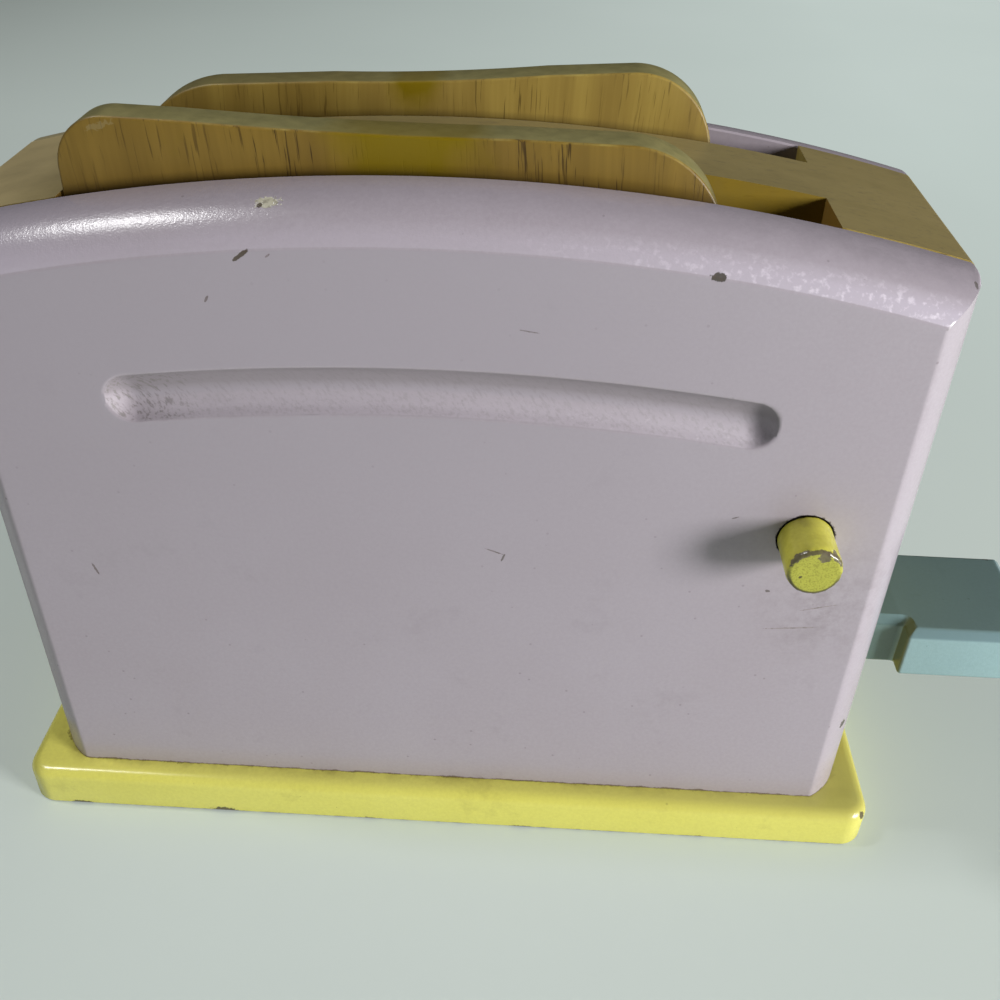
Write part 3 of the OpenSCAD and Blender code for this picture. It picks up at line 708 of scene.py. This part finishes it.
# ---- Core -------------------------------------------------------------------
# Light timber, planed, glued up and clear-varnished: the slotted top board
# with its two open-sided bread slots, the two end walls, and the divider.
def finish_node(material, *names):
    """Gives CAD nodes that keep their own shape a material."""
    for name in names:
        cad[name].data.materials.clear()
        cad[name].data.materials.append(material)


# The grain's stretch along each axis: of its bands and fibres, and of its short pores.
ALONG_X = ((0.04, 1.0, 1.0), (0.10, 1.0, 1.0))
ALONG_Y = ((1.0, 0.04, 1.0), (1.0, 0.10, 1.0))
ALONG_Z = ((1.0, 1.0, 0.03), (1.0, 1.0, 0.045))


def timber(name, along, light, dark, pore, pores, marks=None, lean=0.0, bands=90.0):
    """Varnished straight-grained timber; marks may give stains, and lean tips the grain about Y.

    Long bands and fine fibres are noise stretched along the grain; the pores
    are the peaks of a finer, less stretched noise: short thin dark streaks."""
    material, coords, output = new_material(name)
    vector = turned_about_y(coords, radians(lean))
    drift = vectors("MULTIPLY", noise(vector, 16.0).node.outputs["Color"], (3 * MM, 3 * MM, 3 * MM))
    moved = vectors("ADD", vector, drift)
    stretched = vectors("MULTIPLY", moved, along[0])
    band = noise(stretched, bands, 3.0, 0.6)
    fibre = noise(stretched, 1100.0, 3.0)
    streak = noise(vectors("MULTIPLY", moved, along[1]), 1800.0, 2.0, 0.6)
    patch = ramp(noise(vector, 55.0), 0.35, 0.65, 0.35, 1.0)
    pored = times(ramp(streak, 0.59, 0.67), patch, pores)
    tone = blend(ramp(band, 0.36, 0.64), light, dark)
    colour = lay(tone, (ramp(fibre, 0.3, 0.7, 0.0, 0.4), dark), (pored, pore))
    if marks:
        colour = lay(colour, *marks(*site(coords)))
    height = maths("SUBTRACT", times(fibre, 0.6), pored)
    roughness = ramp(band, 0.3, 0.7, 0.34, 0.50)
    surface(output, colour, roughness, height, 0.35, **{"Specular IOR Level": 0.4})
    return material


def block_grid(name, x_marks, y_marks, filled, top, bottom):
    """Closed solid over the filled cells of a plan grid.

    filled is a table (column, row) of cells. Each filled cell has a face at
    the top height and one at the bottom, and a wall where its neighbour is
    empty. top gives the height above each x."""
    nx, ny = len(x_marks), len(y_marks)
    X, Y = np.meshgrid(x_marks, y_marks, indexing="ij")
    upper = np.stack([X, Y, top(X)], axis=-1).reshape(-1, 3)
    lower = np.stack([X, Y, np.full_like(X, bottom)], axis=-1).reshape(-1, 3)
    index = np.arange(nx * ny).reshape(nx, ny)
    corners = np.stack([index[:-1, :-1], index[1:, :-1], index[1:, 1:], index[:-1, 1:]], axis=-1)
    cells = corners[filled]
    faces = [cells, cells[:, ::-1] + nx * ny]
    padded = np.pad(filled, 1)
    for (dx, dy), (a, b) in {(0, -1): (0, 1), (1, 0): (1, 2), (0, 1): (2, 3), (-1, 0): (3, 0)}.items():
        open_side = filled & ~padded[1 + dx:nx + dx, 1 + dy:ny + dy]
        edge = corners[open_side]
        faces.append(np.stack([edge[:, a], edge[:, a] + nx * ny, edge[:, b] + nx * ny, edge[:, b]], axis=1))
    used, packed = np.unique(np.concatenate(faces), return_inverse=True)
    points = np.concatenate([upper, lower])[used]
    return solid_piece(name, points, packed.reshape(-1, 4).tolist())


def ease_edges(piece, width, segments=2):
    """Softens the sharp edges of a piece with a narrow bevel."""
    bevel = piece.modifiers.new("ease", "BEVEL")
    bevel.width = width
    bevel.segments = segments
    bevel.limit_method = "ANGLE"
    bevel.angle_limit = radians(35)
    bevel.harden_normals = False


SLOT_HALF = 78.2 * MM
CORE_PROUD = 0.12 * MM
(_, core_y0, top_z0), (top_x1, core_y1, _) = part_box("slotted_top")
(_, divider_y0, _), (_, divider_y1, _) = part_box("divider")
end_marks = np.concatenate([np.linspace(SLOT_HALF, top_x1 - CORNER_ROUND, 7),
                            top_x1 - CORNER_ROUND * (1 - np.sin(np.linspace(0.1, pi / 2, 9)))])
x_marks = np.unique(np.concatenate([-end_marks, np.linspace(-SLOT_HALF, SLOT_HALF, 40), end_marks]))
y_marks = np.array([core_y0, divider_y0, divider_y1, core_y1])
middles = (x_marks[:-1] + x_marks[1:]) / 2
beyond_slot = np.abs(middles) > SLOT_HALF
filled = np.stack([beyond_slot, np.ones_like(beyond_slot), beyond_slot], axis=1)
top_piece = block_grid("slotted_top_varnished", x_marks, y_marks, filled,
                       lambda x: arch_height(x) + CORE_PROUD, top_z0)
ease_edges(top_piece, 0.5 * MM)


def core_wear_and_light(coords, place, facing):
    """Greyed tops, dust with a painted sheen, with painted light towards the left end, golden upright faces
    in the slots, painted shade and a painted highlight on the rim along the front panel, and handling
    dirt in soft patches."""
    # Greyed up-facing tops: dust and a painted sheen.
    dust_and_painted_light = ramp(facing["Z"], 0.3, 0.9, 0.0, 0.55)
    # Painted light on the tops towards the left end.
    painted_light_left_end = times(ramp(place["X"], -72 * MM, -92 * MM, 0.0, 1.5), dust_and_painted_light)
    upright = times(ramp(facing["Z"], 0.55, 0.25), ramp(place["Y"], 4 * MM, 0.0))
    in_slot = ramp(maths("ABSOLUTE", place["X"]), SLOT_HALF + 0.5 * MM, SLOT_HALF + 1.5 * MM, 0.85, 0.0)
    walls = blend(ramp(maths("ABSOLUTE", facing["X"]), 0.3, 0.8), "#8C7216", "#8F6A2B")
    # The rim along the front panel: painted shade to the left, a painted highlight to the right.
    rim = times(ramp(facing["Y"], -0.10, -0.35), ramp(facing["Z"], 0.4, 0.6))
    painted_shade_rim = times(rim, ramp(place["X"], 82 * MM, 94 * MM, 0.9, 0.0))
    painted_highlight_rim = times(rim, ramp(place["X"], 86 * MM, 97 * MM, 0.0, 0.9))
    patch = ramp(noise(coords, 38.0, 5.0, 0.65), 0.48, 0.75, 0.0, 0.35)
    return [(dust_and_painted_light, "#867D64"), (painted_light_left_end, "#CFBC8A"), (times(upright, in_slot), walls), (painted_shade_rim, "#6E6342"),
            (painted_highlight_rim, "#C8A22E"), (patch, "#665C40")]


CORE_TONES = ("#B39E5A", "#9E8A42", "#5E5030")
core_timber = timber("core_timber", ALONG_X, *CORE_TONES, 0.70, marks=core_wear_and_light)
dress(top_piece, core_timber, "housing", "varnished_wood", "slotted_top")
wall_timber = timber("wall_timber", ALONG_Z, *CORE_TONES, 0.45, marks=core_wear_and_light)
finish_node(wall_timber, "left_end_wall", "right_end_wall")
divider_timber = timber("divider_timber", ALONG_X, *CORE_TONES, 0.45, marks=core_wear_and_light)
finish_node(divider_timber, "divider")


# ---- Slices of bread --------------------------------------------------------
# Two slices sawn from veneered board, grain upright, edges sanded and the
# whole varnished golden brown. Both stand loose on the lift bar and lean.
SLICE_W = 134.0 * MM
SLICE_H = 129.0 * MM
SLICE_EASE = 0.6 * MM
SLICE_CAP = 6 * MM
WAIST = 4.0 * MM
DIP = 0.6 * MM
CRUST_R = 8.0 * MM
LOBE_LEVEL = 114.0 * MM
LOBE_FLANK = 20.0 * MM


def arc(centre, radius, start, end, count):
    """Points on a circle from one angle to another, in degrees."""
    angle = np.radians(np.linspace(start, end, count))
    return np.asarray(centre) + radius * np.stack([np.cos(angle), np.sin(angle)], axis=1)


def slice_outline(left_r, right_r):
    """Outline of a slice, anticlockwise from its bottom left corner, in its own plane.

    Two quarter circles for the foot, straight sides up to where they meet the
    lobes' circles, the lobes with a straight flank, and one shallow arc between."""
    half = SLICE_W / 2
    side = half - WAIST
    foot = side - CRUST_R
    meet_right = -np.degrees(np.arccos((side - half + right_r) / right_r))
    meet_left = 180 + np.degrees(np.arccos((side - half + left_r) / left_r))
    chord = SLICE_W - 2 * (left_r + right_r)
    dip_r = (chord ** 2 / 4 + DIP ** 2) / (2 * DIP)
    sweep = np.degrees(np.arcsin(chord / 2 / dip_r))
    dip_x = left_r - right_r
    parts = [
        arc((-foot, CRUST_R), CRUST_R, 180, 270, 10),
        arc((foot, CRUST_R), CRUST_R, 270, 360, 10),
        arc((half - right_r, SLICE_H - max(right_r, LOBE_FLANK)), right_r, meet_right, -2, 10),
        arc((half - right_r, SLICE_H - right_r), right_r, 2, 88, 22),
        arc((dip_x, SLICE_H + dip_r - DIP), dip_r, 270 + sweep * 0.94, 270 - sweep * 0.94, 24),
        arc((left_r - half, SLICE_H - left_r), left_r, 92, 178, 22),
        arc((left_r - half, SLICE_H - max(left_r, LOBE_FLANK)), left_r, 182, meet_left, 10),
    ]
    return np.concatenate(parts)


def slice_mesh(name, node, left_r, right_r, tilt):
    """A slice: its outline eased front and back, leaning by the tilt about its foot."""
    (_, y0, _), (_, y1, _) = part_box(node)
    outline = slice_outline(left_r, right_r)
    ease = quarter_round(SLICE_EASE, 5)
    thick = y1 - y0
    profile = [(SLICE_CAP, 0.0), *ease]
    profile += [(inset, thick - drop) for inset, drop in ease[::-1]] + [(SLICE_CAP, thick)]
    flat = stack(outline, profile)
    u, v, depth = flat[..., 0], flat[..., 1], flat[..., 2]
    foot_x = LIFT_X - LOBE_LEVEL * sin(tilt)
    foot_z = LIFT_Z + LIFT_SEAT_R / cos(tilt) + LOBE_LEVEL * tan(tilt) * sin(tilt)
    rings = np.stack([foot_x + u * cos(tilt) + v * sin(tilt), y0 + depth,
                      foot_z - u * sin(tilt) + v * cos(tilt)], axis=-1)
    return ring_surface(name, rings)


(lift_x0, _, lift_z0), (lift_x1, _, lift_z1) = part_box("lift_bar")
LIFT_X = (lift_x0 + lift_x1) / 2
LIFT_Z = (lift_z0 + lift_z1) / 2
LIFT_SEAT_R = (lift_z1 - lift_z0) / 2 + 0.3 * MM


def slice_marks_and_shade(coords, place, facing, stain_x, stain_half, stain_low):
    """The sanded olive edges with a light arris, partly worn varnish and partly a painted highlight,
    painted shade low down near the panels, a painted contact shadow at the panel's edge, and a
    marker stain.

    The stain is mustard yellow, strongest at the top edge, between
    stain_x - stain_half and stain_x + stain_half, above stain_low."""
    level = maths("ABSOLUTE", facing["Y"])
    smooth = blend(ramp(noise(coords, 300.0, 4.0, 0.6), 0.35, 0.7), "#999160", "#868054")
    arris = times(ramp(level, 0.25, 0.55), ramp(level, 0.97, 0.80))
    # The light arris: partly worn varnish, partly a painted highlight.
    arris_wear_and_highlight = times(arris, ramp(noise(coords, 95.0, 4.0, 0.7), 0.48, 0.72, 0.0, 0.6))
    # Painted shade low down, near the panels.
    low = ramp(place["Z"], 152 * MM, 172 * MM, 0.45, 0.0)
    across = maths("ABSOLUTE", maths("SUBTRACT", place["X"], stain_x * MM))
    within = ramp(across, stain_half * 1.5 * MM, stain_half * 0.4 * MM)
    above = ramp(place["Z"], stain_low * MM, 179 * MM, 0.0, 1.1)
    amount = maths("ADD", times(within, above), times(noise(coords, 70.0, 4.0, 0.6), 0.9))
    stain = times(ramp(amount, 0.62, 1.15, 0.0, 0.97), ramp(level, 0.3, 0.8, 0.55, 1.0))
    # A painted contact shadow where the slice meets the panel's top.
    painted_contact_shadow = ramp(over_arch(place), -0.8 * MM, 1.4 * MM, 0.55, 0.0)
    return [(ramp(level, 0.55, 0.15), smooth), (arris_wear_and_highlight, "#B3A45F"), (low, "#4F3A18"),
            (stain, "#7C6800"), (painted_contact_shadow, "#3A2A12")]


def front_slice_marks_and_shade(coords, place, facing):
    """The front slice's stain is wide; a pale scuff lies by its left lobe."""
    scuff = chip(coords, (-67.5, 0, 177), (2.4, 1000, 0.6), 18, 2.6)
    return slice_marks_and_shade(coords, place, facing, -8.0, 14.0, 152.0) + [(times(scuff, 0.22), "#A9A27E")]


def rear_slice_marks_and_shade(coords, place, facing):
    """The rear slice's stain is a small one at the top edge; its left part is darker and browner: a painted
    shadow of the front slice.
    """
    # A painted shadow of the front slice over the left part.
    painted_shadow_left = ramp(place["X"], -6 * MM, -26 * MM, 0.0, 0.28)
    return slice_marks_and_shade(coords, place, facing, -10.0, 6.0, 168.0) + [(painted_shadow_left, "#5F4708")]


front_timber = timber("front_slice_timber", ALONG_Z, "#8D7230", "#7A6126", "#3F2C10", 0.90,
                      marks=front_slice_marks_and_shade, lean=3.0, bands=150.0)
rear_timber = timber("rear_slice_timber", ALONG_Z, "#A68E47", "#8E7636", "#4A3812", 0.75,
                     marks=rear_slice_marks_and_shade, lean=-3.0, bands=150.0)
front_slice_piece = slice_mesh("front_slice_varnished", "front_slice", 11 * MM, 21 * MM, radians(1.1))
rear_slice_piece = slice_mesh("rear_slice_varnished", "rear_slice", 24 * MM, 17.5 * MM, radians(-3.4))
dress(front_slice_piece, front_timber, "front_slice", "slice_wood", "front_slice")
dress(rear_slice_piece, rear_timber, "rear_slice", "slice_wood", "rear_slice")


# ---- Lever ------------------------------------------------------------------
# One mint painted board, sawn to a T with its edges bevelled: the handle
# outside, the neck through the right end wall, the arm under the divider.
HANDLE_LEN = 34.2 * MM
HANDLE_HALF_W = 17.5 * MM
NECK_HALF_W = 9.75 * MM
BEVEL = 2.2 * MM
CORNER = 1.0 * MM
FILLET = 0.4 * MM
ARM_END = 5.0 * MM
EASED = 0.5 * MM
(lever_x0, _, lever_z0), (lever_x1, _, lever_z1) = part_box("lever")
shoulder_x = lever_x1 - HANDLE_LEN
FLARE_START = 109.0 * MM
FLARE_END = 112.5 * MM
FLARE_OUT = 2.8 * MM


def lever_plan(inset):
    """Outline of the T drawn in by an inset; outer corners' radii shrink, the inner ones' grow.

    Outside the wall the neck swells, by half a cosine wave, to its full width."""
    corner = max(CORNER - inset, 0.2 * MM)
    end = ARM_END - inset
    inner = FILLET + inset
    neck = NECK_HALF_W - inset
    half_w = HANDLE_HALF_W - inset
    start, shoulder, tip = lever_x0 + inset, shoulder_x + inset, lever_x1 - inset
    neck_x = np.linspace(start + end + 2 * MM, FLARE_START - 1 * MM, 12)
    flare_x = np.linspace(FLARE_START, FLARE_END, 8)
    swell = 0.5 - 0.5 * np.cos(pi * (flare_x - FLARE_START) / (FLARE_END - FLARE_START))
    outer = neck + FLARE_OUT
    half = np.concatenate([
        arc((start + end, -neck + end), end, 180, 270, 8),
        np.column_stack([neck_x, np.full(12, -neck)]),
        np.column_stack([flare_x, -neck - FLARE_OUT * swell]),
        arc((shoulder - inner, -outer - inner), inner, 90, 0, 6),
        arc((shoulder + corner, -half_w + corner), corner, 180, 270, 6),
        arc((tip - corner, -half_w + corner), corner, 270, 360, 6),
    ])
    return np.concatenate([half, half[::-1] * [1, -1]])


def lever_rings():
    """Stack of the lever's plans: a 45 degree bevel top and bottom with slightly eased arrises."""
    half_profile = [(BEVEL + EASED, 0.0), (BEVEL, 0.02 * MM), (BEVEL - EASED, EASED),
                    (EASED, BEVEL - EASED), (0.03 * MM, BEVEL), (0.0, BEVEL + EASED)]
    profile = [(inset, lever_z0 + up) for inset, up in half_profile]
    profile += [(inset, lever_z1 - up) for inset, up in half_profile[::-1]]
    return np.array([ring_at(lever_plan(inset), height) for inset, height in profile])


lever_piece = ring_surface("lever_painted", lever_rings())


def lever_painted_shade(_coords, place, facing):
    """Painted shade: darker top and bottom faces and bevels, and darker paint round the neck and on the
    shoulder.
    """
    flatness = maths("ABSOLUTE", facing["Z"])
    # Painted shade on the top and bottom faces, and lighter on the bevels.
    level = ramp(flatness, 0.75, 0.95, 0.0, 0.56)
    sloped = times(ramp(flatness, 0.35, 0.6), ramp(flatness, 0.95, 0.80), 0.9)
    # Painted shade round the neck, beside the handle, and on the shoulder's left-facing side.
    by_neck = ramp(place["X"], shoulder_x - 0.5 * MM, shoulder_x - 1.5 * MM)
    grime_and_shade = times(ramp(flatness, 0.45, 0.75, 0.54, 0.10), by_neck)
    shoulder = ramp(facing["X"], -0.85, -0.45, 0.85, 0.0)
    return [(level, "#607678"), (sloped, "#78949A"), (grime_and_shade, "#3C5248"), (shoulder, "#5C6A50")]


mint_paint = painted(
    "mint_painted", "#98B7BA", "#90AEB2", "#5E6F6B", lever_painted_shade, smudge=0.4, specks=0.5, face_axis="Z",
    chips=[((154, -12, 49.5), (0.9, 2.0, 0.9), 0, BARE_WOOD),
           ((129, -17, 34.6), (1.4, 1.5, 0.7), 0, BARE_WOOD),
           ((150, 16, 50.5), (1.2, 1.6, 0.8), 0, BARE_WOOD)])
dress(lever_piece, mint_paint, "lever", "mint_paint", "lever")


# ---- Peg knob ---------------------------------------------------------------
# A short yellow painted dowel that turns in the front panel. Its outer rim is
# knocked about, and the paint has gone from a ring just behind the end.
(_, peg_y0, _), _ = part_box("peg_knob")
peg_radii = np.array([0.0, 3.0, 4.9, 5.40, 5.72, 5.88, 5.95, 6.0, 6.0, 6.0, 6.0, 6.0, 6.0, 5.98]) * MM
peg_depths = np.array([0.06, 0.03, 0.0, 0.05, 0.25, 0.6, 1.0, 1.5, 2.2, 3.2, 6.0, 10.0, 16.0, 22.2]) * MM
peg_turn = np.linspace(0, 2 * pi, 160, endpoint=False)


def peg_rings():
    """Revolve of the peg's profile about Y, its rim dented by waves round the turn.

    The dents are sines of 3, 7, 17 and 29 turns; they fade within a
    millimetre behind the rim."""
    rim = np.exp(-((peg_depths - 0.5 * MM) / (0.6 * MM)) ** 2)[:, None]
    wave = (np.sin(3 * peg_turn + 0.6) + 0.6 * np.sin(7 * peg_turn + 2.1)
            + 0.6 * np.sin(17 * peg_turn) + 0.5 * np.sin(29 * peg_turn + 1.0))
    radius = peg_radii[:, None] - 0.06 * MM * rim * (1.2 + wave)[None]
    radius = np.maximum(radius, 0.05 * MM)
    x = PEG_X + radius * np.cos(peg_turn)
    z = PEG_Z - radius * np.sin(peg_turn)
    y = np.broadcast_to((peg_y0 + peg_depths)[:, None], x.shape)
    return np.stack([x, y, z], axis=-1)


peg_piece = ring_surface("peg_painted", peg_rings()[:, ::-1])


def peg_wear_and_shade(coords, place, _facing):
    """Torn paint over the upper rim and into the end face, speckles on that face, the end face laid
    darker than the side as painted shade, a line of painted shade round its lower rim, and a dark ring
    of painted shade in the gap where the peg enters its hole."""
    fine = noise(coords, 900.0, 5.0, 0.7)
    slow = noise(coords, 260.0, 3.0, 0.6)
    out = from_peg_axis(coords)
    behind = maths("SUBTRACT", place["Y"], peg_y0)
    streaks = times(ramp(slow, 0.35, 0.65), 0.5)
    on_face = ramp(behind, 0.3 * MM, 0.1 * MM)
    spots = times(on_face, ramp(noise(coords, 2600.0, 3.0, 0.7), 0.46, 0.66, 0.0, 0.70))
    away = maths("MAXIMUM", behind, maths("SUBTRACT", 6 * MM, out))
    above = ramp(place["Z"], PEG_Z - 1 * MM, PEG_Z + 4 * MM, 0.05, 1.0)
    reach = times(ramp(away, 0.3 * MM, 2.0 * MM, 0.55, 0.0), above)
    worn = maths("ADD", reach, times(maths("ADD", fine, slow), 0.5))
    torn = blend(fine, "#7D735C", "#4A4334")
    # A line of painted shade round the lower rim.
    below = ramp(place["Z"], PEG_Z - 2 * MM, PEG_Z + 1 * MM, 0.95, 0.0)
    rim = times(ramp(out, 4.8 * MM, 5.15 * MM), ramp(behind, 0.7 * MM, 0.35 * MM), below)
    # Painted shade in the gap where the peg enters its hole.
    root = ramp(place["Y"], front_y0 - 0.7 * MM, front_y0, 0.0, 0.5)
    rubbed_and_shade = ramp(maths("ADD", root, fine), 0.78, 0.90)
    # The end face is laid darker than the side: painted shade.
    return [(streaks, "#A39A34"), (times(on_face, 0.9), "#B7B74A"), (spots, "#858330"),
            (ramp(worn, 0.80, 0.86, 0.0, 0.92), torn), (rim, "#57512A"), (rubbed_and_shade, "#2F2917")]


PEG_AT = np.array([PEG_X, peg_y0, PEG_Z]) / MM
peg_paint = painted(
    "butter_peg", "#D3CE4F", "#CAC547", "#8F8A3A", peg_wear_and_shade, smudge=0.5, specks=0.7, peel=0.9,
    chips=[(PEG_AT + (1.3, 0.2, 4.4), (1.3, 1.0, 1.3), 0, "#6E6552"),
           (PEG_AT + (3.4, 0.8, 4.6), (0.6, 1.4, 1.2), 0, "#6E6552"),
           (PEG_AT + (-2.9, 0.0, -1.2), (0.4, 0.6, 0.3), 20, "#55502A")])
dress(peg_piece, peg_paint, "knob", "butter_paint", "peg_knob")


# ---- Hidden wooden pieces ---------------------------------------------------
# Bare turned dowels and sawn blocks inside: the lift bar, the lever's pin, the
# stop block and the joint dowels. They keep their turned and sawn shapes.
DOWEL_TONES = ("#CDB083", "#B8996A", "#8C7047", 0.4)
bare_along_y = timber("bare_dowel_across", ALONG_Y, *DOWEL_TONES)
bare_along_x = timber("bare_dowel_along", ALONG_X, *DOWEL_TONES)
bare_along_z = timber("bare_dowel_upright", ALONG_Z, *DOWEL_TONES)
finish_node(bare_along_y, "lift_bar", "lever_pin", "front_dowels", "back_dowels")
finish_node(bare_along_x, "stop_block", "divider_dowels")
finish_node(bare_along_z, "top_dowels")


# ---- Screws and washer ------------------------------------------------------
# Zinc-plated steel: four countersunk screws up through the base, and the
# washer and screw that hold the peg from behind.
zinc, coords, output = new_material("zinc_plate")
spangle = put(coords.id_data, "TexVoronoi", {"Vector": coords, "Scale": 900.0}).outputs["Distance"]
scratch = noise(coords, 1400.0, 4.0)
surface(output, blend(spangle, "#C3C6C8", "#A7ABAF"), ramp(scratch, 0.3, 0.7, 0.28, 0.5),
        scratch, 0.12, Metallic=1.0)
finish_node(zinc, "knob_washer", "knob_screw", "base_screws")
